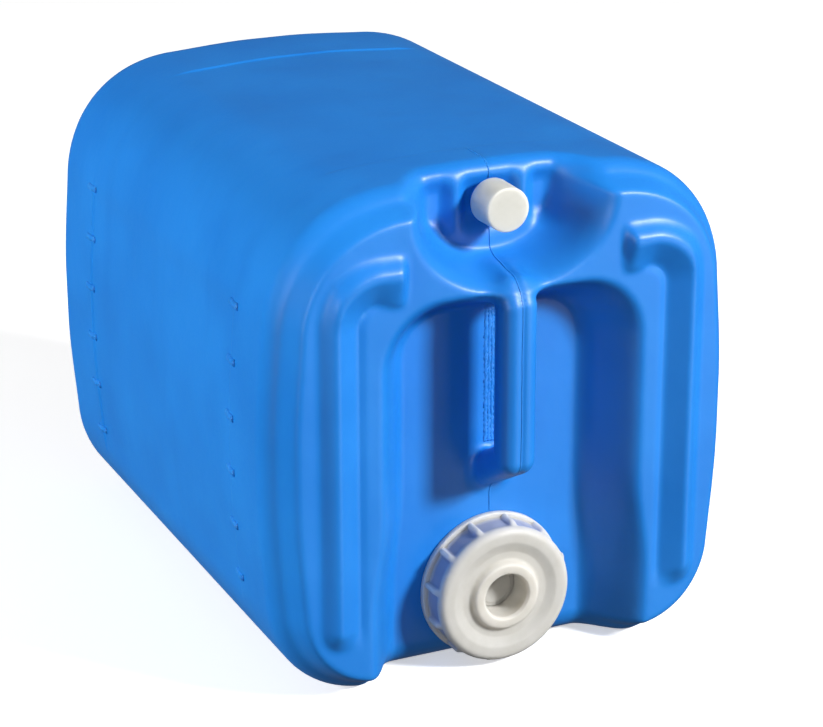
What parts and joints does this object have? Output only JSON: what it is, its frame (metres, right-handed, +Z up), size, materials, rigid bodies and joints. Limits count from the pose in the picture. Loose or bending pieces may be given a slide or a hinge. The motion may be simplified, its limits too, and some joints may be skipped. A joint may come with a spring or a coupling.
{
  "type": "stackable drinks container",
  "caption": "Rectangular blue plastic drinks container lying on its side, with a recessed moulded grip, a screw cap with a knock-out tap boss at its lower edge and a screw vent cap above.",
  "frame": {"origin": "centre of the object's box on the surface that it lies on", "axes": "+Z up, -Y towards the caps and grip, +Y towards the container's base, +X to the right of someone facing the caps"},
  "size_m": [0.267, 0.36, 0.274],
  "materials": {
    "body_plastic": "satin blow-moulded polyethylene with a fine grain",
    "cap_plastic": "satin, slightly translucent natural polyethylene",
    "vent_plastic": "satin cream polyethylene",
    "seal": "matt white foam sealing disc"
  },
  "bodies": {
    "container": {"body": "body_plastic", "tamper_ring": "cap_plastic"},
    "main_gasket": {"main_gasket": "seal"},
    "main_cap": {"main_cap": "cap_plastic", "knock_out_disc": "cap_plastic"},
    "vent_liner": {"vent_liner": "seal"},
    "vent_cap": {"vent_cap": "vent_plastic"}
  },
  "joints": [
    {"name": "main_cap_lift", "type": "slide", "parent": "container", "child": "main_gasket", "axis": [0, -1, 0], "range_m": [0, 0.0085]},
    {"name": "main_cap_turn", "type": "hinge", "parent": "main_gasket", "child": "main_cap", "pos_m": [0, -0.155, 0.0422], "axis": [0, -1, 0], "range_deg": [0, 720]},
    {"name": "vent_cap_lift", "type": "slide", "parent": "container", "child": "vent_liner", "axis": [0, -1, 0], "range_m": [0, 0.0046]},
    {"name": "vent_cap_turn", "type": "hinge", "parent": "vent_liner", "child": "vent_cap", "pos_m": [0, -0.15, 0.254], "axis": [0, -1, 0], "range_deg": [0, 540]}
  ],
  "couplings": [
    {"joint": "main_cap_lift", "follows": "main_cap_turn", "m_per_rad": 0.00067375},
    {"joint": "vent_cap_lift", "follows": "vent_cap_turn", "m_per_rad": 0.00047746}
  ]
}
